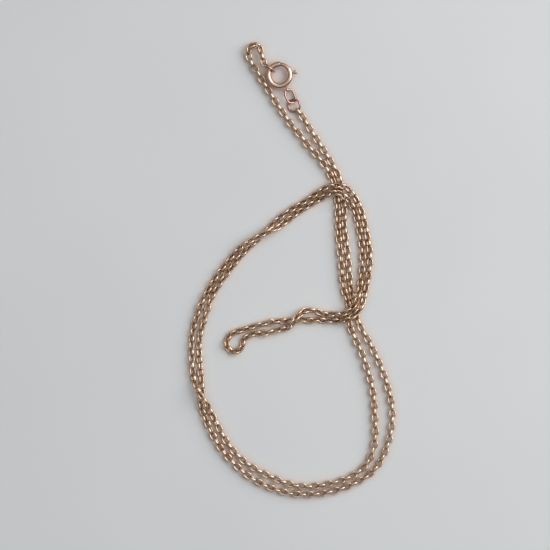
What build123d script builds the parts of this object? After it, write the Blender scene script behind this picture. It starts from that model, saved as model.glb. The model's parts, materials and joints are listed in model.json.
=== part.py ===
from build123d import *
import math
import os
from bisect import bisect_right

os.makedirs("parts", exist_ok=True)

# Chain necklace: a fine rolo (round-wire cable) chain of 372 soldered links laid
# flat in a doubled, folded ribbon, closed with a spring bolt ring.
# Millimetres and degrees, +Z up. Origin: centre of the laid-out necklace, on the
# surface it rests on. +Y points from the bottom of the main loop to the clasp.
# Angles round the bolt ring run anticlockwise from +X, seen from above.

# ---------------------------------------------------------------------------
# Chain dimensions
# ---------------------------------------------------------------------------
LINK_COUNT = 372
LINK_WIRE = 0.30          # wire diameter
LINK_WIDTH = 1.36         # outer width
LINK_SLACK = 0.055        # free play at each pair of neighbouring links
PATH_STEP = 0.04          # sampling step of the centre line

# ---------------------------------------------------------------------------
# Bolt ring dimensions
# ---------------------------------------------------------------------------
RING_CENTRE = Vector(-2.566, 38.979, 1.139)
RING_OUTER_R = 2.75
TUBE_R = 0.575                         # outer radius of the ring's tube
RING_MEAN_R = RING_OUTER_R - TUBE_R
BORE_R = 0.44                          # bore of the tube
MOUTH_FROM, MOUTH_TO = 33.0, 88.0      # the ring's opening
MOUTH_ROUNDING = 0.05                  # fillet on the tube's two ends

BOLT_R = 0.38                          # sliding bolt
BOLT_FROM, BOLT_TO = -2.0, 95.0        # arc the closed bolt spans
NOSE_ROUNDING = 0.15

TRIGGER_AT = 10.0                      # angle of the thumb trigger, closed
TRIGGER_TRAVEL = 55.0                  # how far the trigger pulls the bolt back
POST_R = 0.16
POST_FOOT = RING_MEAN_R - 0.04         # lower end, from the ring's centre
POST_OVERLAP = 0.06                    # how far the post runs up into the button
POST_HOLE_R = 0.17
POST_HOLE_FLOOR = RING_MEAN_R - 0.06   # from the ring's centre
POST_HOLE_DEPTH = 0.6
KNOB_FROM = 2.92                       # underside of the button, from the ring's centre
KNOB_R = 0.42
KNOB_HEIGHT = 0.72
KNOB_DOME = 0.30                       # fillet of the outer rim
KNOB_CHAMFER = 0.10                    # chamfer of the rim facing the ring

SLOT_HALF = 0.19                       # half width of the trigger slot
SLOT_FLOOR = 0.2                       # start of the cut, outwards from the tube's centre
SLOT_TOP = TUBE_R + 0.1                # end of the cut, clear of the tube
SLOT_MARGIN = 0.6                      # extra slot angle at each end of the travel
SLOT_FROM = TRIGGER_AT - TRIGGER_TRAVEL - SLOT_MARGIN
SLOT_TO = TRIGGER_AT + SLOT_MARGIN

PLUG_FROM, PLUG_TO = -108.0, -103.0    # plug the spring pushes against
PLUG_R = (BORE_R + TUBE_R) / 2         # halfway into the tube's wall
SPRING_FROM, SPRING_TO = -5.5, -101.0  # arc the spring fills
SPRING_COIL_R = 0.30                   # mean coil radius
SPRING_WIRE_R = 0.05
SPRING_COILS = 10
SAMPLES_PER_COIL = 10

EYE_ANGLE = -61.571                    # direction of the soldered eye
EYE_REACH = 3.30                       # eye centre from the ring's centre
EYE_MEAN_R = 0.50
EYE_WIRE_R = 0.15

# ---------------------------------------------------------------------------
# Jump ring dimensions
# ---------------------------------------------------------------------------
OVAL_WIRE_R = 0.225
OVAL_END_R = 0.95                      # mean radius of its round ends
OVAL_HALF_STRAIGHT = 0.45
OVAL_TOP_REACH = 3.385                 # its upper end, from the bolt ring's centre
OVAL_HEADING = Vector(0.408, -0.914, 0.0)
OVAL_PITCH = 8.0                       # its far end droops towards the surface
OVAL_ROLL = 24.0

# name, centre, mean radius, wire radius, direction along the ring, roll
ROUND_RINGS = [
    # on the chain's first link
    ("round_jump_ring", Vector(0.394, 32.879, 0.739), 1.24, 0.21,
     Vector(0.35, -0.94, 0.0), -24.0),
    # upright, round the bolt ring's tube
    ("end_jump_ring", Vector(-4.606, 40.449, 1.619), 1.40, 0.20,
     Vector(0.766, -0.643, 0.0), 90.0),
]

# Centre line of the laid-out chain, from the round jump ring to the end jump
# ring: x, y, z, twist. Where strands cross, the upper one is lifted over.
PATH = [
    (1.294, 31.679, 0.859, 0), (2.034, 30.699, 0.739, 0), (3.254, 28.759, 0.709, 0),
    (3.874, 27.719, 0.709, 0), (4.974, 26.079, 0.709, 0), (6.230, 24.104, 0.709, 0),
    (7.565, 21.969, 0.709, 0), (8.719, 19.927, 0.677, 20), (9.474, 18.219, 0.585, 40),
    (9.834, 16.619, 0.554, 45), (9.974, 15.219, 0.554, 45), (10.134, 13.919, 0.554, 45),
    (10.414, 12.619, 0.608, 36), (10.414, 11.219, 0.618, 34.1), (10.334, 9.819, 0.566, 43.1),
    (10.414, 8.619, 0.587, 39.7), (10.534, 7.419, 0.613, 35.1), (10.674, 6.219, 0.626, 32.5),
    (10.834, 5.019, 0.645, 28.4), (11.014, 3.819, 0.679, 19.4), (11.134, 2.619, 0.677, 20.1),
    (11.254, 1.419, 0.683, 18.1), (11.354, 0.219, 0.683, 18.2), (11.434, -0.981, 0.682, 18.4),
    (11.534, -2.181, 0.651, 27), (11.694, -3.381, 0.608, 36), (11.934, -4.581, 0.554, 45),
    (12.214, -5.781, 0.554, 45), (12.494, -6.981, 0.554, 45), (12.734, -8.281, 0.554, 45),
    (12.974, -9.681, 0.585, 40), (13.934, -11.941, 0.701, 10), (15.314, -14.141, 0.709, 0),
    (16.414, -16.421, 0.709, 0), (17.494, -18.721, 0.709, 0), (18.434, -21.141, 0.709, 0),
    (19.174, -23.541, 0.709, 0), (19.774, -25.941, 0.709, 0), (20.054, -28.481, 0.709, 0),
    (19.954, -31.001, 0.709, 0), (19.514, -33.421, 0.707, 5), (18.774, -35.781, 0.707, 5.1),
    (17.734, -38.081, 0.708, 4.1), (16.374, -39.941, 0.707, 5), (14.874, -41.281, 0.706, 6.1),
    (13.174, -42.281, 0.706, 5.8), (11.374, -43.081, 0.708, 3.6), (9.574, -43.781, 0.709, 0.4),
    (7.574, -44.341, 0.709, 0), (5.574, -44.681, 0.709, 0), (3.674, -44.841, 0.708, 3.1),
    (1.574, -44.821, 0.703, 8.4), (-0.626, -44.541, 0.696, 12.8), (-2.826, -43.981, 0.692, 14.5),
    (-5.226, -43.081, 0.695, 13.4), (-7.626, -41.841, 0.699, 10.9), (-9.826, -40.281, 0.702, 9),
    (-11.966, -38.281, 0.703, 8.9), (-13.626, -36.481, 0.700, 10.3), (-15.026, -34.381, 0.698, 11.6),
    (-16.226, -32.281, 0.683, 18), (-17.026, -30.481, 0.651, 27), (-17.726, -28.781, 0.608, 36),
    (-18.226, -27.381, 0.554, 45), (-18.286, -26.181, 0.554, 45), (-18.126, -25.181, 0.554, 45),
    (-18.026, -23.981, 0.554, 45), (-18.126, -22.781, 0.554, 45), (-18.226, -21.581, 0.608, 36),
    (-18.326, -20.381, 0.651, 27), (-18.426, -19.181, 0.651, 27), (-18.526, -17.981, 0.608, 36),
    (-18.626, -16.781, 0.554, 45), (-18.626, -15.481, 0.554, 45), (-18.566, -14.181, 0.554, 45),
    (-18.426, -12.981, 0.554, 45), (-18.166, -11.781, 0.554, 45), (-17.826, -10.581, 0.608, 36),
    (-17.466, -9.481, 0.651, 27), (-17.126, -8.381, 0.683, 18), (-16.786, -7.281, 0.677, 20.1),
    (-16.426, -6.181, 0.642, 29.1), (-15.986, -5.081, 0.596, 38.1), (-15.426, -4.081, 0.580, 40.9),
    (-14.766, -3.081, 0.607, 36.2), (-14.026, -1.981, 0.630, 31.7), (-13.226, -0.881, 0.638, 30),
    (-12.426, 0.219, 0.613, 35), (-11.566, 1.319, 0.597, 37.9), (-10.666, 2.419, 0.598, 37.8),
    (-9.726, 3.459, 0.554, 45), (-8.726, 4.519, 0.554, 45), (-7.726, 5.419, 0.554, 45),
    (-6.626, 6.419, 0.554, 45), (-5.526, 7.559, 0.554, 45), (-4.426, 8.659, 0.554, 45),
    (-3.326, 9.759, 0.554, 45), (-2.226, 10.719, 0.608, 36), (-0.826, 11.719, 0.625, 32.7),
    (0.374, 12.419, 0.575, 41.7), (1.574, 13.159, 0.554, 45), (2.674, 13.819, 0.554, 45),
    (3.674, 14.459, 0.554, 44.9), (4.674, 15.219, 0.608, 36), (5.774, 15.919, 0.704, 45),
    (7.074, 16.579, 1.267, 45), (8.574, 16.839, 1.672, 45), (9.874, 16.879, 1.690, 45),
    (10.974, 16.419, 1.504, 45), (11.714, 15.619, 1.004, 45), (12.414, 14.719, 0.654, 45),
    (13.014, 13.759, 0.554, 45), (13.534, 12.719, 0.608, 36), (13.914, 11.619, 0.613, 35.1),
    (14.194, 10.619, 0.615, 34.6), (14.454, 9.619, 0.632, 31.4), (14.654, 8.619, 0.626, 32.5),
    (14.834, 7.619, 0.614, 34.8), (15.054, 6.519, 0.634, 30.9), (15.254, 5.359, 0.643, 29),
    (15.454, 4.119, 0.666, 23.3), (15.554, 2.919, 0.684, 17.5), (15.534, 1.719, 0.683, 18.1),
    (15.434, 0.479, 0.682, 18.2), (15.274, -0.781, 0.670, 22), (15.054, -2.041, 0.637, 30.3),
    (14.814, -3.321, 0.608, 36), (14.554, -4.581, 0.654, 45), (14.274, -5.781, 1.104, 45),
    (13.914, -6.921, 1.534, 45), (13.294, -8.021, 1.654, 45), (12.434, -8.981, 1.794, 45),
    (11.474, -9.761, 1.914, 45), (10.274, -10.141, 1.454, 45), (8.974, -10.101, 0.754, 45),
    (7.674, -10.181, 0.608, 36), (6.374, -10.081, 0.562, 43.7), (5.174, -9.881, 0.615, 34.7),
    (3.974, -10.081, 0.651, 27), (2.774, -10.041, 0.608, 36), (1.574, -9.841, 0.554, 45),
    (0.274, -9.981, 0.554, 45), (-1.026, -10.181, 0.554, 45), (-2.226, -10.141, 0.608, 36),
    (-3.426, -10.241, 0.651, 27), (-4.626, -10.521, 0.683, 18), (-5.826, -10.821, 0.651, 27),
    (-7.126, -11.121, 0.608, 36), (-8.426, -11.481, 0.554, 45), (-9.726, -11.921, 0.554, 45),
    (-10.926, -12.221, 0.554, 45), (-11.926, -12.621, 0.554, 45), (-12.786, -13.301, 0.554, 45),
    (-13.226, -14.341, 0.554, 45), (-13.046, -15.461, 0.554, 45), (-12.186, -16.261, 0.554, 45),
    (-11.026, -16.341, 0.554, 45), (-10.126, -15.661, 0.554, 45), (-9.946, -14.561, 0.554, 45),
    (-9.626, -13.621, 0.554, 45), (-8.786, -13.101, 0.554, 45), (-7.926, -12.781, 0.554, 45),
    (-6.626, -12.621, 0.608, 36), (-5.226, -12.661, 0.651, 27), (-4.026, -12.301, 0.651, 27),
    (-2.826, -11.901, 0.608, 36), (-1.526, -11.781, 0.704, 45), (-0.526, -11.381, 1.254, 45),
    (0.174, -10.441, 1.683, 45), (0.914, -9.421, 1.750, 45), (1.834, -8.521, 1.160, 45),
    (2.874, -7.981, 0.716, 36), (4.034, -7.941, 0.651, 27), (5.114, -8.341, 0.608, 36),
    (6.074, -8.861, 0.554, 45), (7.174, -8.901, 0.607, 36.1), (8.474, -8.781, 0.754, 45),
    (9.674, -8.981, 1.254, 45), (10.814, -8.581, 1.654, 45), (11.874, -7.841, 1.654, 45),
    (12.574, -6.821, 1.720, 45), (12.974, -5.641, 1.724, 45), (13.274, -4.481, 1.256, 45),
    (13.514, -3.281, 0.704, 45), (13.734, -1.981, 0.608, 36), (13.894, -0.681, 0.651, 27),
    (14.034, 0.619, 0.682, 18.2), (14.134, 1.919, 0.683, 18), (14.134, 3.219, 0.680, 18.9),
    (14.034, 4.519, 0.652, 26.9), (13.834, 5.819, 0.641, 29.3), (13.634, 7.119, 0.616, 34.5),
    (13.374, 8.419, 0.626, 32.4), (13.094, 9.719, 0.627, 32.3), (12.774, 11.019, 0.611, 35.4),
    (12.354, 12.159, 0.608, 36), (11.754, 13.159, 0.854, 45), (11.034, 14.119, 1.454, 45),
    (10.234, 14.939, 1.654, 45), (9.174, 15.499, 1.748, 45), (7.874, 15.479, 1.614, 45),
    (6.674, 14.899, 1.016, 45), (5.374, 14.119, 0.608, 36), (4.074, 13.359, 0.554, 45),
    (2.774, 12.579, 0.554, 45), (1.574, 11.819, 0.554, 45), (0.374, 10.919, 0.608, 36),
    (-0.826, 10.019, 0.608, 36), (-1.926, 9.179, 0.754, 45), (-3.126, 8.419, 1.430, 45),
    (-4.426, 7.819, 1.887, 45), (-5.726, 7.219, 1.690, 45), (-7.026, 6.559, 1.604, 45),
    (-8.226, 5.879, 1.726, 45), (-9.286, 5.219, 1.738, 45), (-10.326, 4.459, 1.277, 45),
    (-11.326, 3.539, 0.674, 45), (-12.226, 2.459, 0.593, 38.6), (-13.086, 1.419, 0.606, 36.3),
    (-13.966, 0.319, 0.630, 31.7), (-14.786, -0.781, 0.637, 30.1), (-15.506, -1.881, 0.619, 33.8),
    (-16.166, -2.981, 0.588, 39.6), (-16.826, -4.081, 0.582, 40.4), (-17.466, -5.181, 0.631, 31.4),
    (-18.026, -6.341, 0.669, 22.4), (-18.506, -7.541, 0.683, 18), (-18.926, -8.741, 0.651, 27),
    (-19.326, -9.981, 0.608, 36), (-19.666, -11.181, 0.554, 45), (-19.926, -12.441, 0.554, 45),
    (-20.106, -13.721, 0.554, 45), (-20.186, -14.981, 0.554, 45), (-20.186, -16.281, 0.554, 45),
    (-20.146, -17.581, 0.608, 36), (-20.066, -18.881, 0.651, 27), (-19.946, -20.181, 0.651, 27),
    (-19.766, -21.481, 0.608, 36), (-19.486, -22.741, 1.054, 45), (-19.046, -23.881, 1.534, 45),
    (-18.426, -24.941, 1.727, 45), (-17.726, -25.881, 1.822, 45), (-17.066, -26.941, 1.310, 45),
    (-16.506, -27.981, 0.654, 45), (-15.966, -29.081, 0.608, 36), (-15.366, -30.241, 0.651, 27),
    (-14.706, -31.441, 0.683, 18), (-13.966, -32.881, 0.702, 9), (-13.226, -34.181, 0.704, 7.9),
    (-12.166, -35.641, 0.697, 12), (-11.226, -36.721, 0.695, 13.4), (-10.226, -37.701, 0.697, 12.3),
    (-9.186, -38.561, 0.701, 10.2), (-8.126, -39.321, 0.702, 9), (-6.986, -39.981, 0.701, 9.7),
    (-5.786, -40.621, 0.698, 11.6), (-4.566, -41.181, 0.696, 12.9), (-3.326, -41.721, 0.698, 11.9),
    (-2.086, -42.241, 0.704, 8.2), (-0.826, -42.701, 0.708, 3.1), (0.474, -43.041, 0.709, 0),
    (1.774, -43.241, 0.709, 0), (3.174, -43.301, 0.709, 0), (4.574, -43.181, 0.708, 2.9),
    (5.974, -43.021, 0.706, 6.2), (7.374, -42.741, 0.704, 7.7), (8.774, -42.381, 0.705, 7.2),
    (10.174, -41.941, 0.706, 6.1), (11.474, -41.441, 0.706, 6.2), (12.674, -40.781, 0.703, 8.5),
    (13.834, -39.941, 0.697, 12.3), (14.834, -38.881, 0.689, 15.7), (15.574, -37.681, 0.687, 16.6),
    (16.074, -36.481, 0.693, 14.2), (16.374, -35.281, 0.702, 9.5), (16.574, -33.981, 0.707, 4.7),
    (16.654, -32.981, 0.709, 1.8), (16.674, -31.581, 0.709, 0), (16.614, -30.281, 0.709, 0),
    (16.514, -28.981, 0.709, 0), (16.454, -27.661, 0.709, 0), (16.394, -26.281, 0.709, 0),
    (16.274, -24.981, 0.709, 0), (16.034, -23.661, 0.709, 0), (15.754, -22.381, 0.709, 0),
    (15.374, -21.021, 0.709, 0), (15.014, -19.781, 0.709, 0), (14.634, -18.541, 0.709, 0),
    (14.174, -17.281, 0.709, 0), (13.674, -15.981, 0.709, 0), (13.134, -14.741, 0.709, 0),
    (12.554, -13.541, 0.707, 5), (12.014, -12.341, 0.677, 20), (11.534, -11.141, 0.613, 35),
    (11.334, -9.881, 0.554, 45), (11.374, -8.581, 0.554, 45), (11.374, -7.281, 0.554, 45),
    (11.094, -6.081, 0.558, 44.3), (10.634, -4.981, 0.612, 35.3), (10.334, -3.781, 0.654, 26.3),
    (10.174, -2.581, 0.677, 20), (10.054, -1.381, 0.682, 18.4), (9.974, -0.181, 0.681, 18.6),
    (9.874, 1.019, 0.684, 17.6), (9.774, 2.219, 0.676, 20.4), (9.634, 3.419, 0.683, 18),
    (9.534, 4.619, 0.651, 27), (9.414, 5.819, 0.629, 31.9), (9.294, 7.019, 0.617, 34.2),
    (9.214, 8.219, 0.594, 38.4), (9.174, 9.419, 0.565, 43.3), (9.134, 10.619, 0.598, 37.7),
    (9.134, 11.819, 0.629, 31.9), (9.054, 13.019, 0.606, 36.3), (8.954, 14.219, 0.554, 45),
    (8.814, 15.419, 0.554, 45), (8.554, 16.619, 0.554, 45), (8.174, 17.819, 0.585, 40),
    (7.674, 19.059, 0.659, 25), (7.009, 20.211, 0.701, 10), (6.323, 21.289, 0.709, 0),
    (5.558, 22.214, 0.709, 0), (4.874, 23.019, 0.709, 0), (4.034, 23.959, 0.709, 0),
    (3.214, 24.859, 0.709, 0), (2.474, 25.819, 0.709, 0), (1.814, 26.779, 0.709, 0),
    (1.174, 27.559, 0.709, 0), (0.474, 28.219, 0.709, 0), (-0.326, 29.219, 0.709, 0),
    (-1.026, 30.219, 0.709, 0), (-1.686, 31.259, 0.709, 0), (-2.426, 32.319, 0.709, 0),
    (-3.126, 33.339, 0.709, 0), (-3.786, 34.419, 0.709, 0), (-4.426, 35.499, 0.709, 0),
    (-5.126, 36.619, 0.709, 0), (-5.826, 37.699, 0.709, 0), (-6.526, 38.859, 0.709, 0),
    (-7.036, 39.947, 0.931, 2.1), (-7.873, 40.810, 0.684, -5.4), (-8.400, 42.046, 0.864, 8.3),
    (-8.826, 43.159, 0.888, 30), (-8.827, 44.330, 0.943, 42.6), (-7.961, 44.964, 1.282, 51.3),
    (-7.135, 45.073, 0.972, 46.4), (-6.403, 44.500, 1.212, 45.5), (-6.212, 43.476, 1.162, 34.4),
    (-6.085, 42.791, 1.356, 13.4), (-5.726, 41.505, 1.439, 12.2),
]

# The chain in runs that lie side by side: name, then the first and last link
# (inclusive) of each strand in the run.
RUNS = [
    ("chain_bottom_curve", (56, 83), (277, 298)),
    ("chain_right_loop_1", (53, 55), (299, 302)),
    ("chain_right_loop_2", (50, 52), (303, 305)),
    ("chain_right_loop_3", (44, 49), (306, 311)),
    ("chain_right_loop_4", (40, 43), (312, 315)),
    ("chain_right_loop_5", (37, 39), (316, 318)),
    ("chain_lower_crossing_under", (28, 36), (319, 326)),
    ("chain_inner_vertical_1", (26, 27), (327, 329)),
    ("chain_inner_vertical_2", (19, 25), (330, 336)),
    ("chain_upper_crossing_under", (11, 18), (337, 343)),
    ("chain_clasp_end_run_1", (7, 10), (344, 347)),
    ("chain_clasp_end_run_2", (4, 6), (348, 350)),
    ("chain_clasp_end_run_3", (0, 3), (351, 371)),
    ("chain_left_loop_1", (84, 86), (273, 276)),
    ("chain_left_loop_2", (87, 90), (269, 272)),
    ("chain_left_loop_3", (91, 96), (262, 268)),
    ("chain_left_loop_4", (97, 100), (258, 261)),
    ("chain_left_loop_5", (101, 102), (256, 257)),
    ("chain_left_loop_6", (103, 111), (247, 255)),
    ("chain_left_loop_7", (112, 114), (244, 246)),
    ("chain_left_loop_8", (115, 124), (231, 243)),
    ("chain_upper_crossing_over", (125, 142), (218, 230)),
    ("chain_outer_vertical_1", (143, 149), (210, 217)),
    ("chain_outer_vertical_2", (150, 151), (208, 209)),
    ("chain_lower_crossing_over", (152, 163), (197, 207)),
    ("chain_tail_run_1", (164, 169), (190, 196)),
    ("chain_tail_run_2", (170, 172), (187, 189)),
    ("chain_tail_fold", (173, 186)),
]


def save(part, name):
    part.label = name
    export_step(part, f"parts/{name}.step")


# ---------------------------------------------------------------------------
# Centre line: points are (x, y, z, twist)
# ---------------------------------------------------------------------------
def gap(a, b):
    """Distance between two path points, leaving out the twist."""
    return math.dist(a[:3], b[:3])


def blend(start, end, t_start, t_end, t):
    """Value at t on the straight line from start to end."""
    span = t_end - t_start
    return tuple(a * (t_end - t) / span + b * (t - t_start) / span for a, b in zip(start, end))


def reflected(point, pivot):
    return tuple(2 * b - a for a, b in zip(point, pivot))


def centre_line(points):
    """Centripetal Catmull-Rom curve through the points, sampled finely."""
    padded = [reflected(points[1], points[0]), *points, reflected(points[-2], points[-1])]
    samples = []
    for p0, p1, p2, p3 in zip(padded, padded[1:], padded[2:], padded[3:]):
        t0 = 0.0
        t1 = t0 + math.sqrt(gap(p0, p1))
        t2 = t1 + math.sqrt(gap(p1, p2))
        t3 = t2 + math.sqrt(gap(p2, p3))
        count = max(2, int(gap(p1, p2) / PATH_STEP))
        for j in range(count):
            t = t1 + (t2 - t1) * j / count
            a1 = blend(p0, p1, t0, t1, t)
            a2 = blend(p1, p2, t1, t2, t)
            a3 = blend(p2, p3, t2, t3, t)
            b1 = blend(a1, a2, t0, t2, t)
            b2 = blend(a2, a3, t1, t3, t)
            samples.append(blend(b1, b2, t1, t2, t))
    samples.append(points[-1])
    return samples


line = centre_line(PATH)
distances = [0.0]         # distance along the line at each sample
for before, after in zip(line, line[1:]):
    distances.append(distances[-1] + gap(before, after))
link_pitch = distances[-1] / (LINK_COUNT - 1)


def at(distance):
    """Position and twist of the centre line at a distance along it."""
    i = min(bisect_right(distances, distance) - 1, len(line) - 2)
    *position, twist = blend(line[i], line[i + 1], distances[i], distances[i + 1], distance)
    return Vector(*position), twist


# ---------------------------------------------------------------------------
# Chain
# ---------------------------------------------------------------------------
def placed(centre, along, roll):
    """Plane whose X runs along a ring and whose Z is the ring's normal."""
    along = along.normalized()
    up = (Vector(0, 0, 1) - along * along.Z).normalized()
    side = up.cross(along)
    angle = math.radians(roll)
    normal = up * math.cos(angle) + side * math.sin(angle)
    return Plane(origin=centre, x_dir=along, z_dir=normal)


def link_plane(k):
    """Where link k lies. Every second link is turned a quarter turn."""
    distance = k * link_pitch
    middle, twist = at(distance)
    # the first and last link have path on one side only: mirror it
    if k > 0:
        back, _ = at(distance - link_pitch / 2)
    if k < LINK_COUNT - 1:
        front, _ = at(distance + link_pitch / 2)
    else:
        front = middle * 2 - back
    if k == 0:
        back = middle * 2 - front
    quarter_turn = 90.0 if k % 2 == 0 else 0.0
    return placed((back + front) * 0.5, front - back, twist + quarter_turn)


def make_link():
    """Soldered link of round wire: two half-round ends and two straight sides."""
    end_r = (LINK_WIDTH - LINK_WIRE) / 2
    link_length = link_pitch + 2 * LINK_WIRE + LINK_SLACK
    half_straight = (link_length - LINK_WIDTH) / 2
    with BuildPart() as link:
        with BuildSketch(Plane(origin=(half_straight, 0, 0), x_dir=(0, 1, 0), z_dir=(1, 0, 0))):
            with Locations((-end_r, 0)):
                Circle(LINK_WIRE / 2)
        revolve(axis=Axis((half_straight, 0, 0), (0, 0, 1)), revolution_arc=180)
        mirror(about=Plane.YZ)
        with BuildSketch(Plane(origin=(-half_straight, 0, 0), x_dir=(0, 1, 0), z_dir=(1, 0, 0))):
            with Locations((-end_r, 0), (end_r, 0)):
                Circle(LINK_WIRE / 2)
        extrude(amount=2 * half_straight)
    return link.part


def make_run(link, strands):
    """Group of separate links from the strands of one run."""
    numbers = [k for first, last in strands for k in range(first, last + 1)]
    with BuildPart() as run:
        with Locations(*[link_plane(k).location for k in numbers]):
            add(link, clean=False)
    return run.part


# ---------------------------------------------------------------------------
# Spring bolt ring
# ---------------------------------------------------------------------------
RING_AXIS = Axis(RING_CENTRE, (0, 0, 1))


def out_from_ring(angle):
    a = math.radians(angle)
    return Vector(math.cos(a), math.sin(a), 0.0)


def across(out):
    """Horizontal direction a quarter turn anticlockwise from out."""
    return Vector(-out.Y, out.X, 0.0)


def tube_section(angle):
    """Plane across the ring's tube, X pointing away from the ring's centre."""
    out = out_from_ring(angle)
    return Plane(origin=RING_CENTRE + out * RING_MEAN_R, x_dir=out, z_dir=across(out))


def radial_plane(angle, reach):
    """Plane facing outwards at a distance from the ring's centre."""
    out = out_from_ring(angle)
    return Plane(origin=RING_CENTRE + out * reach, x_dir=(0, 0, 1), z_dir=out)


def make_bolt_ring_body():
    tube_arc = 360 - (MOUTH_TO - MOUTH_FROM)
    eye_out = out_from_ring(EYE_ANGLE)
    eye_centre = RING_CENTRE + eye_out * EYE_REACH
    eye_wire_centre = eye_centre + eye_out * EYE_MEAN_R
    with BuildPart() as body:
        # drawn tube, open between the two mouth angles
        with BuildSketch(tube_section(MOUTH_TO)):
            Circle(TUBE_R)
        revolve(axis=RING_AXIS, revolution_arc=tube_arc)
        fillet(
            body.edges().filter_by(GeomType.CIRCLE).filter_by(
                lambda e: abs(e.radius - TUBE_R) < 1e-4 and e.is_closed
            ),
            radius=MOUTH_ROUNDING,
        )
        # soldered eye that holds the oval jump ring
        with BuildSketch(Plane(origin=eye_wire_centre, x_dir=eye_out, z_dir=(0, 0, 1))):
            Circle(EYE_WIRE_R)
        revolve(axis=Axis(eye_centre, across(eye_out)), revolution_arc=360)
        # bore, cut after the eye so that it also clears the eye's wire
        with BuildSketch(tube_section(MOUTH_TO)):
            Circle(BORE_R)
        revolve(axis=RING_AXIS, revolution_arc=tube_arc, mode=Mode.SUBTRACT)
        # plug that closes the bore behind the spring
        with BuildSketch(tube_section(PLUG_FROM)):
            Circle(PLUG_R)
        revolve(axis=RING_AXIS, revolution_arc=PLUG_TO - PLUG_FROM)
        # round-ended slot the trigger post travels in
        with BuildSketch(tube_section(SLOT_FROM)):
            with Locations(((SLOT_FLOOR + SLOT_TOP) / 2, 0)):
                Rectangle(SLOT_TOP - SLOT_FLOOR, 2 * SLOT_HALF)
        revolve(axis=RING_AXIS, revolution_arc=SLOT_TO - SLOT_FROM, mode=Mode.SUBTRACT)
        for angle in (SLOT_FROM, SLOT_TO):
            with BuildSketch(radial_plane(angle, RING_MEAN_R + SLOT_FLOOR)):
                Circle(SLOT_HALF)
            extrude(amount=TUBE_R, mode=Mode.SUBTRACT)
    return body.part


def make_bolt():
    with BuildPart() as bolt:
        with BuildSketch(tube_section(BOLT_FROM)):
            Circle(BOLT_R)
        revolve(axis=RING_AXIS, revolution_arc=BOLT_TO - BOLT_FROM)
        # the nose is the end with the lowest X
        nose = bolt.edges().filter_by(GeomType.CIRCLE).sort_by(Axis.X)[0]
        fillet(nose, radius=NOSE_ROUNDING)
        # blind hole for the trigger post
        with BuildSketch(radial_plane(TRIGGER_AT, POST_HOLE_FLOOR)):
            Circle(POST_HOLE_R)
        extrude(amount=POST_HOLE_DEPTH, mode=Mode.SUBTRACT)
    return bolt.part


def make_trigger_knob():
    """Turned pin with a post and a domed thumb button, on the radial axis."""
    with BuildPart() as knob:
        with BuildSketch(radial_plane(TRIGGER_AT, POST_FOOT)):
            Circle(POST_R)
        extrude(amount=KNOB_FROM + POST_OVERLAP - POST_FOOT)
        with BuildSketch(radial_plane(TRIGGER_AT, KNOB_FROM)):
            Circle(KNOB_R)
        extrude(amount=KNOB_HEIGHT)
        rims = knob.edges().filter_by(GeomType.CIRCLE).filter_by(
            lambda e: abs(e.radius - KNOB_R) < 1e-4
        )
        outer_rim = max(rims, key=lambda e: (e.arc_center - RING_CENTRE).length)
        inner_rim = min(rims, key=lambda e: (e.arc_center - RING_CENTRE).length)
        fillet(outer_rim, radius=KNOB_DOME)
        chamfer(inner_rim, length=KNOB_CHAMFER)
    return knob.part


def make_coil_spring():
    """Coil spring wound along the ring's curved bore."""
    points = []
    samples = SPRING_COILS * SAMPLES_PER_COIL
    for i in range(samples + 1):
        share = i / samples
        out = out_from_ring(SPRING_FROM + (SPRING_TO - SPRING_FROM) * share)
        turn = 2 * math.pi * SPRING_COILS * share
        reach = RING_MEAN_R + SPRING_COIL_R * math.cos(turn)
        points.append(RING_CENTRE + out * reach + Vector(0, 0, SPRING_COIL_R * math.sin(turn)))
    with BuildPart() as spring:
        with BuildLine() as coil:
            Spline(*points)
        with BuildSketch(Plane(origin=coil.line @ 0, z_dir=coil.line % 0)):
            Circle(SPRING_WIRE_R)
        sweep(path=coil.line, is_frenet=False)
    return spring.part


# ---------------------------------------------------------------------------
# Jump rings
# ---------------------------------------------------------------------------
def local(plane, x, y):
    """World point of a position given in a plane's own directions."""
    return plane.origin + plane.x_dir * x + plane.y_dir * y


def make_oval_jump_ring():
    """Two half-round ends and two straight sides, hanging from the eye."""
    pitch = math.radians(OVAL_PITCH)
    along = OVAL_HEADING.normalized() * math.cos(pitch) - Vector(0, 0, math.sin(pitch))
    top = RING_CENTRE + out_from_ring(EYE_ANGLE) * OVAL_TOP_REACH
    centre = top + along * (OVAL_END_R + OVAL_HALF_STRAIGHT)
    plane = placed(centre, along, OVAL_ROLL)
    with BuildPart() as ring:
        for end in (1, -1):
            end_x = end * OVAL_HALF_STRAIGHT
            with BuildSketch(
                Plane(
                    origin=local(plane, end_x, -end * OVAL_END_R),
                    x_dir=plane.y_dir,
                    z_dir=plane.x_dir,
                )
            ):
                Circle(OVAL_WIRE_R)
            revolve(axis=Axis(local(plane, end_x, 0), plane.z_dir), revolution_arc=180)
        with BuildSketch(
            Plane(
                origin=local(plane, -OVAL_HALF_STRAIGHT, 0),
                x_dir=plane.y_dir,
                z_dir=plane.x_dir,
            )
        ):
            with Locations((-OVAL_END_R, 0), (OVAL_END_R, 0)):
                Circle(OVAL_WIRE_R)
        extrude(amount=2 * OVAL_HALF_STRAIGHT)
    return ring.part


def make_round_ring(centre, mean_r, wire_r, along, roll):
    plane = placed(centre, along, roll)
    with BuildPart() as ring:
        with BuildSketch(
            Plane(origin=local(plane, mean_r, 0), x_dir=plane.x_dir, z_dir=plane.y_dir)
        ):
            Circle(wire_r)
        revolve(axis=Axis(centre, plane.z_dir), revolution_arc=360)
    return ring.part


# ---------------------------------------------------------------------------
# Build and export
# ---------------------------------------------------------------------------
link_part = make_link()
for run_name, *run_strands in RUNS:
    save(make_run(link_part, run_strands), run_name)

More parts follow.
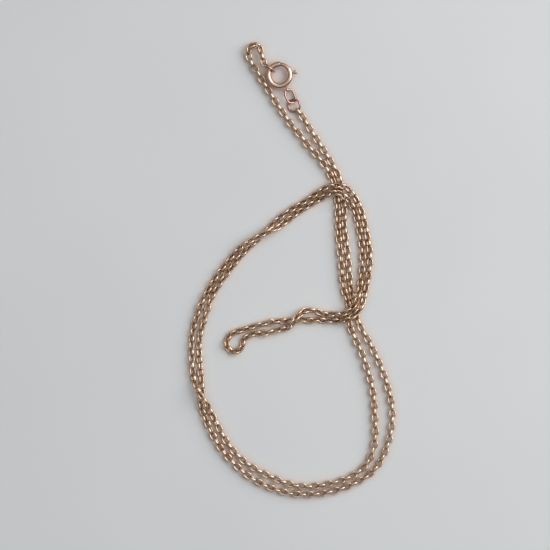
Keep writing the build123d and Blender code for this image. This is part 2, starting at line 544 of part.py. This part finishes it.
save(make_bolt_ring_body(), "bolt_ring_body")
save(make_bolt(), "bolt")
save(make_trigger_knob(), "trigger_knob")
save(make_coil_spring(), "coil_spring")

save(make_oval_jump_ring(), "oval_jump_ring")
for ring_name, *ring_values in ROUND_RINGS:
    save(make_round_ring(*ring_values), ring_name)
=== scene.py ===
"""A rose gold chain bracelet with a bolt ring clasp and three jump rings.

It lies flat on a pale card: the card is the XY plane, +Z points up to the camera, and
+X is right and +Y is up in the picture. Chain, jump rings and coil spring are rebuilt
on their CAD solids; the shells of the bolt ring keep their CAD shape. Lengths are in
metres, except where a name ends in _mm.
"""

import json
import math

import bpy
import numpy as np
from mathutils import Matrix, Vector


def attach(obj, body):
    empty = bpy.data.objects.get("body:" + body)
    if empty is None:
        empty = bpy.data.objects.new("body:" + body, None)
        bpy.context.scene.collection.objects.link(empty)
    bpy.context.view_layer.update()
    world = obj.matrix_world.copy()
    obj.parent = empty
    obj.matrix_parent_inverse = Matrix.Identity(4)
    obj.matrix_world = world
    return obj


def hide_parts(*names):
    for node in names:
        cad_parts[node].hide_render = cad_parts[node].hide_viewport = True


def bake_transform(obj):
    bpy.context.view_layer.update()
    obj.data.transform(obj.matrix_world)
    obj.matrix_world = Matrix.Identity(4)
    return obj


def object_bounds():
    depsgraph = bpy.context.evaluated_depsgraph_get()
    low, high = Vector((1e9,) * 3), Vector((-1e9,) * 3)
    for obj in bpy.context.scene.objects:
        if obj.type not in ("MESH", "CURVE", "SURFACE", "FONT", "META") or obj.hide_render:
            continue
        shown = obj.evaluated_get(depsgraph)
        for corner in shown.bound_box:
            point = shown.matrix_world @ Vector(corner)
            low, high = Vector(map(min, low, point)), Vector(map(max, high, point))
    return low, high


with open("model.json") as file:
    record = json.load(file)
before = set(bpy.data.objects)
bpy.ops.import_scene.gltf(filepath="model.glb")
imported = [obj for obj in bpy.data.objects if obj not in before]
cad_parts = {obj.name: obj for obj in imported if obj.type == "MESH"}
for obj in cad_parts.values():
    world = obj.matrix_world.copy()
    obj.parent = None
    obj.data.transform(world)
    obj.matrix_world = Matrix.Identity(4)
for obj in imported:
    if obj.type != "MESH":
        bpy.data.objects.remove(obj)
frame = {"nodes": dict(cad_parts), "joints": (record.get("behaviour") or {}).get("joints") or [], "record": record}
cad_low, cad_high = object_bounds()
nodes = frame["nodes"]
record = frame["record"]
body_of_node = {
    node: body for body, members in record["behaviour"]["bodies"].items() for node in members
}
MM = 0.001


# ---------------------------------------------------------------------------
# Node trees
# ---------------------------------------------------------------------------
class Graph:
    """Short way to write the node tree of a material or a world."""

    def __init__(self, owner):
        owner.use_nodes = True
        self.tree = owner.node_tree
        self.tree.nodes.clear()

    def add(self, kind, **settings):
        node = self.tree.nodes.new(kind)
        for key, value in settings.items():
            setattr(node, key, value)
        return node

    def join(self, source, target):
        self.tree.links.new(source, target)

    def feed(self, socket, value):
        """Set a socket to a plain value, or link it to another socket."""
        if isinstance(value, (int, float, tuple)):
            socket.default_value = value
        else:
            self.join(value, socket)

    def math(self, operation, *operands, clamp=False):
        node = self.add("ShaderNodeMath", operation=operation, use_clamp=clamp)
        for socket, operand in zip(node.inputs, operands):
            self.feed(socket, operand)
        return node.outputs[0]

    def scaled(self, value, by, clamp=False):
        return self.math("MULTIPLY", value, by, clamp=clamp)

    def inverse(self, value):
        return self.math("SUBTRACT", 1.0, value)

    def mix(self, base, other, mask, share=None):
        """Colour that goes from base to other with the mask, at most by the share."""
        if share is not None:
            mask = self.scaled(mask, by=share)
        node = self.add("ShaderNodeMix", data_type="RGBA", blend_type="MIX")
        self.feed(node.inputs[0], mask)
        for socket, colour in ((node.inputs[6], base), (node.inputs[7], other)):
            self.feed(socket, (*colour, 1.0) if isinstance(colour, tuple) else colour)
        return node.outputs[2]

    def noise(self, vector, scale, detail=3.0, rough=0.5, distortion=0.0):
        node = self.add("ShaderNodeTexNoise")
        node.inputs["Scale"].default_value = scale
        node.inputs["Detail"].default_value = detail
        node.inputs["Roughness"].default_value = rough
        node.inputs["Distortion"].default_value = distortion
        self.join(vector, node.inputs["Vector"])
        return node.outputs["Fac"]

    def ramp(self, value, low, high, to_low=0.0, to_high=1.0):
        """Smooth step: low..high becomes to_low..to_high."""
        node = self.add("ShaderNodeMapRange", interpolation_type="SMOOTHSTEP")
        self.join(value, node.inputs["Value"])
        node.inputs["From Min"].default_value = low
        node.inputs["From Max"].default_value = high
        node.inputs["To Min"].default_value = to_low
        node.inputs["To Max"].default_value = to_high
        return node.outputs["Result"]

    def millimetres(self, stretch=(1.0, 1.0, 1.0), turn=(0.0, 0.0, 0.0)):
        """Position in the piece's own rest frame, in millimetres."""
        coord = self.add("ShaderNodeTexCoord")
        mapping = self.add("ShaderNodeMapping")
        mapping.inputs["Scale"].default_value = tuple(1000.0 * s for s in stretch)
        mapping.inputs["Rotation"].default_value = turn
        self.join(coord.outputs["Object"], mapping.inputs["Vector"])
        return mapping.outputs["Vector"]

    def attribute(self, name):
        return self.add("ShaderNodeAttribute", attribute_name=name).outputs["Fac"]

    def closeness(self, reach_mm):
        """Near 1 where other surfaces lie close, 0 in the open."""
        occlusion = self.add("ShaderNodeAmbientOcclusion", samples=8, inside=False)
        occlusion.inputs["Distance"].default_value = reach_mm * MM
        return self.inverse(occlusion.outputs["AO"])

    def principled(self):
        output = self.add("ShaderNodeOutputMaterial")
        shader = self.add("ShaderNodeBsdfPrincipled")
        self.join(shader.outputs["BSDF"], output.inputs["Surface"])
        return shader

    def bump(self, shader, height, strength, depth_mm):
        node = self.add("ShaderNodeBump")
        node.inputs["Strength"].default_value = strength
        node.inputs["Distance"].default_value = depth_mm * MM
        self.join(height, node.inputs["Height"])
        self.join(node.outputs["Normal"], shader.inputs["Normal"])


# ---------------------------------------------------------------------------
# Materials
# ---------------------------------------------------------------------------
def alloy_colour(graph, here, light, deep):
    """Rose gold that drifts from light to deep along the piece, with a darker mottle."""
    drift = graph.ramp(graph.noise(here, scale=0.22, detail=2.0, rough=0.55), low=0.34, high=0.66)
    mottle = graph.ramp(graph.noise(here, scale=3.1, detail=4.0, rough=0.6), low=0.30, high=0.72)
    darkening = 0.82
    colour = graph.mix(light, deep, mask=drift)
    return graph.mix(colour, tuple(c * darkening for c in deep), mask=mottle, share=0.32)


def hairlines(graph):
    """Fine scratches in two crossing directions: noise stretched into threads."""
    threads_a = graph.noise(
        graph.millimetres(stretch=(2.0, 26.0, 26.0), turn=(0.3, 0.5, 0.6)),
        scale=1.0, detail=2.0, distortion=0.4,
    )
    threads_b = graph.noise(
        graph.millimetres(stretch=(30.0, 2.4, 24.0), turn=(0.9, 0.1, -0.7)),
        scale=1.0, detail=2.0, distortion=0.5,
    )
    return graph.math(
        "MAXIMUM",
        graph.ramp(threads_a, low=0.66, high=0.74),
        graph.ramp(threads_b, low=0.67, high=0.75),
    )


def rose_gold(
    name, light, deep, tarnish_and_shade, roughness, scratch, crevice_mm, crevice,
    per_link=False, relief_mm=0.020,
):
    """Worn polished rose gold: uneven alloy colour, brown tarnish mixed with painted shade in crevices and where
    the card lies close, hairline scratches, polishing haze, and a per-link difference where the piece is a chain."""
    material = bpy.data.materials.new(name)
    graph = Graph(material)
    here = graph.millimetres()
    metal = graph.principled()
    metal.inputs["Metallic"].default_value = 1.0
    # a thin film of skin oil and polish
    metal.inputs["Coat Weight"].default_value = 0.5
    metal.inputs["Coat Roughness"].default_value = 0.16

    colour = alloy_colour(graph, here, light, deep)
    if per_link:
        tone, rub, seam = (
            graph.attribute(key) for key in ("link_tone", "link_rub", "link_seam")
        )
        colour = graph.mix(colour, (0.90, 0.70, 0.56), mask=tone, share=0.45)
        # solder at the closing joint is paler and slightly yellow
        colour = graph.mix(colour, (0.90, 0.69, 0.47), mask=seam, share=0.55)

    # brown tarnish mixed with painted shade, darkest where other surfaces, the card among them, lie close
    closed = graph.closeness(crevice_mm)
    speckle = graph.ramp(
        graph.noise(here, scale=7.0, detail=3.0, rough=0.65),
        low=0.25, high=0.75, to_low=0.55, to_high=1.15,
    )
    falloff = 1.25
    dirt_and_shade = graph.scaled(graph.math("POWER", closed, falloff), by=speckle, clamp=True)
    dirt_and_shade = graph.scaled(dirt_and_shade, by=crevice, clamp=True)
    if per_link:
        # the inside of each end is rubbed bright by its neighbour
        dirt_and_shade = graph.scaled(dirt_and_shade, by=graph.inverse(graph.scaled(rub, by=0.35)))
    # the mask paints shade as well as tarnish: metal near other surfaces is drawn darker
    colour = graph.mix(colour, tarnish_and_shade, mask=dirt_and_shade)
    graph.join(colour, metal.inputs["Base Color"])

    # roughness: haze, hairlines, and the tarnish and painted shade mask
    haze = graph.ramp(graph.noise(here, scale=1.1, detail=3.0, rough=0.6), low=0.30, high=0.75)
    smooth, dull = roughness
    rough = graph.math("MULTIPLY_ADD", haze, dull - smooth, smooth)
    hair = hairlines(graph)
    rough = graph.math("ADD", rough, graph.scaled(hair, by=0.14 * scratch))
    rough = graph.math("ADD", rough, graph.scaled(dirt_and_shade, by=0.22), clamp=True)
    graph.join(rough, metal.inputs["Roughness"])

    # relief: drawn-wire waviness, fine grain, hairline scratches
    wave = graph.noise(here, scale=1.7, detail=2.0, rough=0.5)
    grain = graph.noise(here, scale=22.0, detail=2.0, rough=0.6)
    wave_share = 0.7
    relief = graph.math("MULTIPLY_ADD", wave, wave_share, graph.scaled(grain, by=0.10))
    relief = graph.math("SUBTRACT", relief, graph.scaled(hair, by=0.16 * scratch))
    graph.bump(metal, relief, strength=0.55, depth_mm=relief_mm)
    return material


def spring_wire(name):
    """Hard-drawn spring wire: grey steel with drawing lines and a straw tint."""
    material = bpy.data.materials.new(name)
    graph = Graph(material)
    here = graph.millimetres()
    metal = graph.principled()
    metal.inputs["Metallic"].default_value = 1.0
    straw = graph.ramp(graph.noise(here, scale=1.4), low=0.35, high=0.70)
    colour = graph.mix((0.55, 0.54, 0.52), (0.60, 0.52, 0.42), mask=straw)
    graph.join(colour, metal.inputs["Base Color"])
    drawn = graph.noise(graph.millimetres(stretch=(30.0, 30.0, 4.0)), scale=1.0, detail=2.0)
    rough = graph.ramp(drawn, low=0.3, high=0.7, to_low=0.22, to_high=0.42)
    graph.join(rough, metal.inputs["Roughness"])
    graph.bump(metal, drawn, strength=0.4, depth_mm=0.006)
    return material


def pale_card(name):
    """Faintly clouded card, warmed near the metal."""
    material = bpy.data.materials.new(name)
    graph = Graph(material)
    card = graph.principled()
    here = graph.millimetres()
    cloud = graph.ramp(graph.noise(here, scale=0.02, detail=2.0), low=0.3, high=0.7)
    colour = graph.mix((0.752, 0.767, 0.782), (0.772, 0.787, 0.798), mask=cloud)
    # light that has bounced off the metal warms the card under and inside the links
    shade = graph.scaled(graph.closeness(reach_mm=1.9), by=1.2, clamp=True)
    colour = graph.mix(colour, (0.80, 0.64, 0.53), mask=shade)
    graph.join(colour, card.inputs["Base Color"])
    card.inputs["Roughness"].default_value = 0.75
    card.inputs["Specular IOR Level"].default_value = 0.25
    return material


chain_metal = rose_gold(
    "rose_gold_links",
    light=(0.82, 0.595, 0.445), deep=(0.73, 0.470, 0.290), tarnish_and_shade=(0.11, 0.044, 0.018),
    roughness=(0.21, 0.35), scratch=0.5, crevice_mm=0.9, crevice=0.95,
    per_link=True, relief_mm=0.010,
)
clasp_metal = rose_gold(
    "rose_gold_clasp",
    light=(0.86, 0.595, 0.465), deep=(0.78, 0.49, 0.365), tarnish_and_shade=(0.11, 0.044, 0.018),
    roughness=(0.12, 0.25), scratch=1.0, crevice_mm=0.45, crevice=0.75,
)
ring_metal = rose_gold(
    "rose_gold_jump_rings",
    light=(0.62, 0.375, 0.29), deep=(0.46, 0.245, 0.18), tarnish_and_shade=(0.10, 0.032, 0.018),
    roughness=(0.10, 0.24), scratch=0.8, crevice_mm=0.40, crevice=0.80,
)
# painted shade: the bolt gets a darker copy of the clasp gold, for where it lies shaded in the ring's mouth
shaded_bolt_metal = rose_gold(
    "rose_gold_bolt_shaded",
    light=(0.60, 0.39, 0.32), deep=(0.42, 0.25, 0.20), tarnish_and_shade=(0.07, 0.03, 0.022),
    roughness=(0.12, 0.24), scratch=1.2, crevice_mm=0.50, crevice=0.85,
)
spring_metal = spring_wire("spring_wire")


# ---------------------------------------------------------------------------
# Mesh tools
# ---------------------------------------------------------------------------
def make_object(name, points, faces, material, attributes=None):
    """Smooth-shaded object; attributes maps names to one value per point."""
    mesh = bpy.data.meshes.new(name)
    mesh.from_pydata([], [], [])
    points = np.asarray(points, dtype=np.float64)
    faces = np.asarray(faces, dtype=np.int32)
    mesh.vertices.add(len(points))
    mesh.vertices.foreach_set("co", points.astype(np.float32).ravel())
    mesh.loops.add(faces.size)
    mesh.loops.foreach_set("vertex_index", faces.ravel())
    mesh.polygons.add(len(faces))
    mesh.polygons.foreach_set(
        "loop_start", np.arange(0, faces.size, faces.shape[1], dtype=np.int32)
    )
    mesh.polygons.foreach_set("use_smooth", np.ones(len(faces), dtype=bool))
    mesh.update(calc_edges=True)
    mesh.validate(clean_customdata=False)
    for key, values in (attributes or {}).items():
        layer = mesh.attributes.new(key, "FLOAT", "POINT")
        layer.data.foreach_set("value", np.asarray(values, dtype=np.float32))
    mesh.materials.append(material)
    made = bpy.data.objects.new(name, mesh)
    bpy.context.scene.collection.objects.link(made)
    return made


def stand_in(made, node):
    """Let an object take the place of a CAD node and move with its body."""
    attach(made, body_of_node[node])
    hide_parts(node)


def solids_of(node):
    """Point clouds of the separate solids in a CAD node."""
    weld = 2e-7
    mesh = nodes[node].data
    coords = np.zeros(len(mesh.vertices) * 3)
    mesh.vertices.foreach_get("co", coords)
    coords = coords.reshape(-1, 3)
    cells = np.round(coords / weld).astype(np.int64)
    _, label = np.unique(cells, axis=0, return_inverse=True)
    label = label.ravel()
    edges = np.zeros(len(mesh.edges) * 2, dtype=np.int64)
    mesh.edges.foreach_get("vertices", edges)
    tails, heads = label[edges[0::2]], label[edges[1::2]]
    # pass the lowest label along the edges until nothing changes
    group = np.arange(label.max() + 1)
    while True:
        lowest = np.minimum(group[tails], group[heads])
        before = group.copy()
        np.minimum.at(group, tails, lowest)
        np.minimum.at(group, heads, lowest)
        group = group[group]
        if np.array_equal(before, group):
            break
    of_vertex = group[label]
    return [coords[of_vertex == solid] for solid in np.unique(of_vertex)]


def own_axes(points):
    """Centre, axes (longest, middle, shortest) and full sizes of a solid."""
    middle = 0.5 * (points.min(0) + points.max(0))
    _, vectors = np.linalg.eigh(np.cov((points - points.mean(0)).T))
    axes = vectors[:, ::-1].T
    axes[2] = np.cross(axes[0], axes[1])
    local = (points - middle) @ axes.T
    low, high = local.min(0), local.max(0)
    return middle + 0.5 * (low + high) @ axes, axes, high - low


def sweep(line, tangents, normals, radius, across=1.0, closed=True):
    """Tube along a line. normals lie across the line, radius is a (line, side) table, and
    across widens the section at right angles to the normals. Returns points and quads."""
    count, sides = radius.shape
    sideways = np.cross(tangents, normals)
    turn = side_angles(sides)
    section = (
        np.cos(turn)[None, :, None] * normals[:, None, :]
        + across * np.sin(turn)[None, :, None] * sideways[:, None, :]
    )
    points = line[:, None, :] + section * radius[:, :, None]
    index = np.arange(count * sides).reshape(count, sides)
    here, following = (index, np.roll(index, -1, axis=0)) if closed else (index[:-1], index[1:])
    quads = np.stack(
        [here, following, np.roll(following, -1, axis=1), np.roll(here, -1, axis=1)], axis=-1
    )
    return points.reshape(-1, 3), quads.reshape(-1, 4)


def side_angles(sides):
    """Angles round a wire section; 0 points along the normal."""
    return 2 * np.pi * np.arange(sides) / sides


def stadium(end_radius, half, per_end, per_side):
    """Two half circles joined by straights of length 2 * half along x. Returns the line
    in the XY plane with its tangents and outward normals."""
    points, outward = [], []
    for sign in (1, -1):
        for i in range(per_end):
            angle = -sign * np.pi / 2 + np.pi * i / per_end
            x, y = np.cos(angle), np.sin(angle)
            points.append((sign * half + end_radius * x, end_radius * y, 0.0))
            outward.append((x, y, 0.0))
        for i in range(per_side):
            points.append((sign * (half - 2 * half * i / per_side), sign * end_radius, 0.0))
            outward.append((0.0, sign, 0.0))
    points, outward = np.array(points), np.array(outward)
    tangents = np.stack([-outward[:, 1], outward[:, 0], outward[:, 2]], axis=-1)
    return points, tangents, outward


def hump(distance, reach):
    """Bell curve as a column: 1 at no distance, fading over the reach."""
    return np.exp(-((distance / reach) ** 2))[:, None]


# ---------------------------------------------------------------------------
# Chain links: each is rebuilt on its CAD solid, with a drawn-wire cross section,
# rub marks where its neighbours pull, and a closed, slightly proud solder joint.
# In its own axes a link is long in x, wide in y and one wire thick in z.
# ---------------------------------------------------------------------------
LINK_SIDES, LINK_PER_END, LINK_PER_SIDE = 14, 13, 6
SIDE_ACROSS = 1.48  # the wire is oval, thicker in z than in the link's plane
END_ACROSS = 1.32  # and rounder at the ends, where the neighbours hang
OVAL_WIDTH, OVAL_SHARE = 1.10, 0.55  # ellipse width, and how far the link follows it
SIDE_SWELL = 0.32  # the long sides of a link are fuller than its worn ends
SWELL_INWARD = 0.25  # share of the swell by which the sides move towards the opening
SWELL_FADE = 0.85  # where the swell ends, in end radii past the straight
# shares of the wire radius
END_WEAR, FLAT_DEPTH, UNEVENNESS = 0.055, 0.020, 0.006
LINK_BEAD_HEIGHT, LINK_GROOVE_DEPTH = 0.022, 0.030
# in wire thicknesses
LINK_BEAD_REACH, LINK_GROOVE_REACH = 0.55, 0.16
JOINT_SPREAD = 0.3  # the joint lies this far off mid-side at most, in half straights


def link_mesh(solid, seed):
    """Points, quads, rub and seam values, and tone of one link."""
    centre, axes, (length, width, wire) = own_axes(solid)
    wire_radius = wire / 2
    end_radius = (width - wire) / 2
    half = (length - width) / 2
    points, _, _ = stadium(end_radius, half, LINK_PER_END, LINK_PER_SIDE)
    rng = np.random.default_rng(seed)
    # links are bent to a rounder shape than a true stadium
    round_y = OVAL_WIDTH * end_radius * np.sqrt(
        np.clip(1 - (points[:, 0] / (half + end_radius)) ** 2, 0, None)
    )
    points[:, 1] += OVAL_SHARE * (np.sign(points[:, 1]) * round_y - points[:, 1])
    tangents = np.roll(points, -1, axis=0) - np.roll(points, 1, axis=0)
    tangents /= np.linalg.norm(tangents, axis=1)[:, None]
    outward = np.stack([tangents[:, 1], -tangents[:, 0], 0 * tangents[:, 0]], axis=-1)
    turn = side_angles(LINK_SIDES)
    inner = np.clip(-np.cos(turn), 0, 1)[None, :]  # faces the opening
    # share of each end where the neighbouring link bears
    past_straight = np.abs(points[:, 0]) - half
    bearing = np.clip(past_straight / end_radius, 0, 1)[:, None] ** 3
    radius = np.full((len(points), LINK_SIDES), wire_radius)
    radius *= 1 - END_WEAR * bearing * inner**2
    # the sides keep their full section, mostly gained towards the opening
    full = 1 - np.clip(past_straight / (SWELL_FADE * end_radius), 0, 1)[:, None]
    full = full * full * (3 - 2 * full)
    across = END_ACROSS + (SIDE_ACROSS - END_ACROSS) * full[:, :, None]
    radius *= 1 + SIDE_SWELL * full
    points = points - outward * (SWELL_INWARD * SIDE_SWELL * wire_radius) * full
    # a soft flat left by handling on the +z and -z faces of the wire
    facing = 0.5 + 0.5 * np.cos(2 * (turn - np.pi / 2))
    radius *= 1 - FLAT_DEPTH * facing[None, :] ** 6
    # solder joint near the middle of one long side
    side = 1 if rng.random() < 0.5 else -1
    joint_x = rng.uniform(-JOINT_SPREAD, JOINT_SPREAD) * half
    distance = np.hypot(points[:, 0] - joint_x, points[:, 1] - side * end_radius)
    bead = hump(distance, LINK_BEAD_REACH * wire)
    radius *= 1 + LINK_BEAD_HEIGHT * bead
    radius *= 1 - LINK_GROOVE_DEPTH * hump(distance, LINK_GROOVE_REACH * wire)
    radius *= 1 + UNEVENNESS * np.sin(3 * turn + rng.uniform(0, 6.28))[None, :]
    flesh, quads = sweep(points, tangents, outward, radius, across)
    rub = (bearing * inner**1.5).ravel()
    seam = np.repeat(bead.ravel(), LINK_SIDES)
    return centre + flesh @ axes, quads, rub, seam, rng.random()


def chain_links(node):
    """All the links of one CAD chain node, as one object."""
    solids = sorted(solids_of(node), key=lambda solid: tuple(np.round(solid.mean(0), 7)))
    first_seed = 1000 * (sum(map(ord, node)) % 997)
    links = [link_mesh(solid, first_seed + number) for number, solid in enumerate(solids)]
    points, quads, rubs, seams, tones = zip(*links)
    per_link = len(points[0])
    made = make_object(
        node.replace("chain_", "links_"),
        np.vstack(points),
        np.vstack([faces + number * per_link for number, faces in enumerate(quads)]),
        chain_metal,
        {
            "link_tone": np.repeat(tones, per_link),
            "link_rub": np.concatenate(rubs),
            "link_seam": np.concatenate(seams),
        },
    )
    stand_in(made, node)


for node in sorted(nodes):
    if node.startswith("chain_"):
        chain_links(node)

# ---------------------------------------------------------------------------
# Jump rings: round wire with a soldered butt joint
# ---------------------------------------------------------------------------
RING_ALONG, RING_SIDES = 220, 32
RING_END_SHARE = 0.40  # share of the steps spent on each end of an oval ring
LEAST_STRAIGHT = 0.02 * MM  # a ring with a shorter half straight is round
# shares of the wire radius
RING_BEAD_HEIGHT, RING_GROOVE_DEPTH, MARK_DEPTH, DRAWING_DEPTH = 0.018, 0.07, 0.028, 0.004
# in wire thicknesses
RING_BEAD_REACH, RING_GROOVE_REACH = 0.45, 0.10
MARK_OFFSET, MARK_REACH = 1.6, 0.35


def jump_ring(node, name, joint_at):
    """Ring on a CAD node, with its joint at an angle in its own plane, in radians."""
    centre, axes, (length, width, wire) = own_axes(solids_of(node)[0])
    end_radius = (width - wire) / 2
    half = max((length - width) / 2, 0.0)
    if half < LEAST_STRAIGHT:
        half = 0.0
    per_end = int(RING_ALONG * RING_END_SHARE) if half else RING_ALONG // 2
    per_side = (RING_ALONG - 2 * per_end) // 2 if half else 0
    points, tangents, outward = stadium(end_radius, half, per_end, per_side)
    joint_x, joint_y = np.cos(joint_at), np.sin(joint_at)
    joint = np.array([half * np.sign(joint_x) + end_radius * joint_x, end_radius * joint_y, 0.0])
    distance = np.linalg.norm(points - joint, axis=1)
    bead = hump(distance, RING_BEAD_REACH * wire)
    groove = hump(distance, RING_GROOVE_REACH * wire)
    turn = side_angles(RING_SIDES)
    radius = np.full((len(points), RING_SIDES), wire / 2)
    radius *= 1 + RING_BEAD_HEIGHT * bead - RING_GROOVE_DEPTH * groove
    # plier marks either side of the joint, on both faces of the wire
    mark = hump(distance - MARK_OFFSET * wire, MARK_REACH * wire)
    for face in (-1.0, 1.0):
        facing = np.clip(np.cos(turn - face * np.pi / 2), 0, 1)[None, :] ** 6
        radius *= 1 - MARK_DEPTH * mark * facing
    # a little uneven drawing
    step = np.arange(len(points))[:, None] / len(points) * 2 * np.pi
    radius *= 1 - DRAWING_DEPTH * (1 + np.sin(5 * step + 2 * turn[None, :]))
    flesh, quads = sweep(points, tangents, outward, radius)
    stand_in(make_object(name, centre + flesh @ axes, quads, ring_metal), node)


jump_ring("round_jump_ring", "round_ring_wire", joint_at=2.4)
jump_ring("oval_jump_ring", "oval_ring_wire", joint_at=2.0)
jump_ring("end_jump_ring", "end_ring_wire", joint_at=0.9)

# ---------------------------------------------------------------------------
# Bolt ring: the CAD shells keep their shape and get their metal
# ---------------------------------------------------------------------------
for node, metal in (
    ("bolt_ring_body", clasp_metal),
    # the bolt takes the darker copy of the gold, which is painted shade
    ("bolt", shaded_bolt_metal),
    ("trigger_knob", clasp_metal),
):
    mesh = nodes[node].data
    mesh.materials.clear()
    mesh.materials.append(metal)

# ---------------------------------------------------------------------------
# Coil spring, wound along the curved bore of the bolt ring
# ---------------------------------------------------------------------------
SPRING_TURNS, SPRING_PER_TURN, SPRING_SIDES = 10, 28, 10
SPRING_WIRE_RADIUS = 0.05 * MM
END_CROWDING = 0.018  # draws the coils a little closer at both ends


def unit(vectors):
    return vectors / np.linalg.norm(vectors, axis=1)[:, None]


def end_caps(line, sides, first_free):
    """Centre points and quads that close both ends of an open tube."""
    centres, caps = [], []
    for end, order in ((0, 1), (len(line) - 1, -1)):
        for i in range(0, sides, 2):
            rim = [end * sides + (i + s) % sides for s in (0, 1, 2)]
            caps.append((first_free + len(centres), *rim[::order]))
        centres.append(line[end])
    return centres, caps


def coil_spring():
    trigger = next(joint for joint in frame["joints"] if joint["name"] == "trigger")
    ring_centre = np.array(trigger["pos_m"])
    # bore radius, coil radius and angular span, read from the CAD spring
    offset = solids_of("coil_spring")[0] - ring_centre
    reach = np.hypot(offset[:, 0], offset[:, 1])
    bore_radius = 0.5 * (reach.min() + reach.max())
    coil_radius = 0.5 * (reach.max() - reach.min()) - SPRING_WIRE_RADIUS
    angle = np.degrees(np.arctan2(offset[:, 1], offset[:, 0]))
    margin = math.degrees(SPRING_WIRE_RADIUS / bore_radius)
    high_angle, low_angle = angle.max() - margin, angle.min() + margin

    share = np.linspace(0, 1, SPRING_TURNS * SPRING_PER_TURN + 1)
    eased = share - END_CROWDING * np.sin(2 * np.pi * share)
    ring_angle = np.radians(high_angle + (low_angle - high_angle) * eased)
    turn = 2 * np.pi * SPRING_TURNS * share
    outward = np.stack([np.cos(ring_angle), np.sin(ring_angle), 0 * ring_angle], axis=-1)
    line = (
        ring_centre
        + outward * (bore_radius + coil_radius * np.cos(turn))[:, None]
        + np.array([0, 0, 1.0]) * (coil_radius * np.sin(turn))[:, None]
    )
    tangents = unit(np.gradient(line, axis=0))
    normals = line - (ring_centre + outward * bore_radius)
    normals -= tangents * np.sum(normals * tangents, axis=1)[:, None]
    radius = np.full((len(line), SPRING_SIDES), SPRING_WIRE_RADIUS)
    tube, quads = sweep(line, tangents, unit(normals), radius, closed=False)
    centres, caps = end_caps(line, SPRING_SIDES, first_free=len(tube))
    spring = make_object(
        "coil_spring_wire", np.vstack([tube, centres]), np.vstack([quads, caps]), spring_metal
    )

    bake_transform(spring)
    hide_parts("coil_spring")


coil_spring()

# ---------------------------------------------------------------------------
# Stage: pale card, soft light from the right, camera from above
# ---------------------------------------------------------------------------
FLOOR_SIZE = 1.6
# strengths of the sky
WALL_LEFT, WALL_RIGHT, CEILING, WINDOW = 0.14, 0.035, 0.54, 1.00
WINDOW_DIRECTION = (0.58, 0.40, 0.71)
WINDOW_OUTER, WINDOW_INNER = 40, 20  # degrees from its middle: dark, and fully bright
LAMP_PLACE, LAMP_SIZE, LAMP_POWER = (0.315, 0.115, 0.28), 0.38, 1.02
VIEW_WIDTH, CAMERA_HEIGHT, SENSOR_MM = 0.110, 0.60, 36.0
LOOK_OFFSET_X, LOOK_OFFSET_Y = -0.003426, -0.000981  # from the middle of the CAD
LOOK_Z = 0.0006


def floor():
    material = pale_card("pale_card")
    bpy.ops.mesh.primitive_grid_add(
        x_subdivisions=8, y_subdivisions=8, size=FLOOR_SIZE, location=(0, 0, 0)
    )
    made = bpy.context.object
    made.name = "floor"
    made.data.materials.append(material)


def studio():
    """Dim walls, bright ceiling, window high on the upper right."""
    world = bpy.data.worlds.new("studio")
    bpy.context.scene.world = world
    graph = Graph(world)
    output = graph.add("ShaderNodeOutputWorld")
    background = graph.add("ShaderNodeBackground")
    graph.join(background.outputs[0], output.inputs[0])
    direction = graph.add("ShaderNodeTexCoord").outputs["Generated"]
    split = graph.add("ShaderNodeSeparateXYZ")
    graph.join(direction, split.inputs[0])

    walls = graph.ramp(
        split.outputs["X"], low=-0.75, high=0.45, to_low=WALL_LEFT, to_high=WALL_RIGHT
    )
    far_side = graph.ramp(split.outputs["Y"], low=-0.8, high=0.6, to_low=0.55, to_high=1.25)
    walls = graph.scaled(walls, by=far_side)
    ceiling = graph.ramp(split.outputs["Z"], low=0.50, high=0.88)
    below = graph.scaled(walls, by=graph.inverse(ceiling))
    # the ceiling's strength stays in the first input of its node
    level = graph.math("ADD", below, graph.scaled(CEILING, by=ceiling))

    # soft round patch of sky for the window
    toward = graph.add("ShaderNodeVectorMath", operation="DOT_PRODUCT")
    graph.join(direction, toward.inputs[0])
    toward.inputs[1].default_value = tuple(Vector(WINDOW_DIRECTION).normalized())
    window = graph.ramp(
        toward.outputs["Value"],
        low=math.cos(math.radians(WINDOW_OUTER)),
        high=math.cos(math.radians(WINDOW_INNER)),
    )
    level = graph.math("ADD", level, graph.scaled(window, by=WINDOW))
    graph.join(level, background.inputs["Strength"])
    background.inputs["Color"].default_value = (0.985, 0.995, 1.0, 1.0)


def window_lamp():
    """Square area light, aimed at the origin."""
    light = bpy.data.lights.new("window", "AREA")
    light.shape = "RECTANGLE"
    light.size = light.size_y = LAMP_SIZE
    light.energy = LAMP_POWER
    light.color = (1.0, 0.99, 0.97)
    lamp = bpy.data.objects.new("window", light)
    lamp.location = LAMP_PLACE
    lamp.rotation_euler = (-Vector(LAMP_PLACE)).to_track_quat("-Z", "Y").to_euler()
    bpy.context.scene.collection.objects.link(lamp)


def overhead_camera():
    """Unrotated camera, looking straight down."""
    middle = 0.5 * (Vector(cad_low) + Vector(cad_high))
    look = Vector((middle.x + LOOK_OFFSET_X, middle.y + LOOK_OFFSET_Y, LOOK_Z))
    lens = bpy.data.cameras.new("camera")
    lens.sensor_width = lens.sensor_height = SENSOR_MM
    lens.lens = SENSOR_MM * CAMERA_HEIGHT / VIEW_WIDTH
    lens.clip_start = 0.01
    lens.clip_end = 10.0
    camera = bpy.data.objects.new("camera", lens)
    camera.location = look + Vector((0, 0, CAMERA_HEIGHT))
    bpy.context.scene.collection.objects.link(camera)
    bpy.context.scene.camera = camera


floor()
studio()
window_lamp()
overhead_camera()
bpy.context.scene.view_settings.view_transform = "Standard"
bpy.context.scene.view_settings.look = "None"
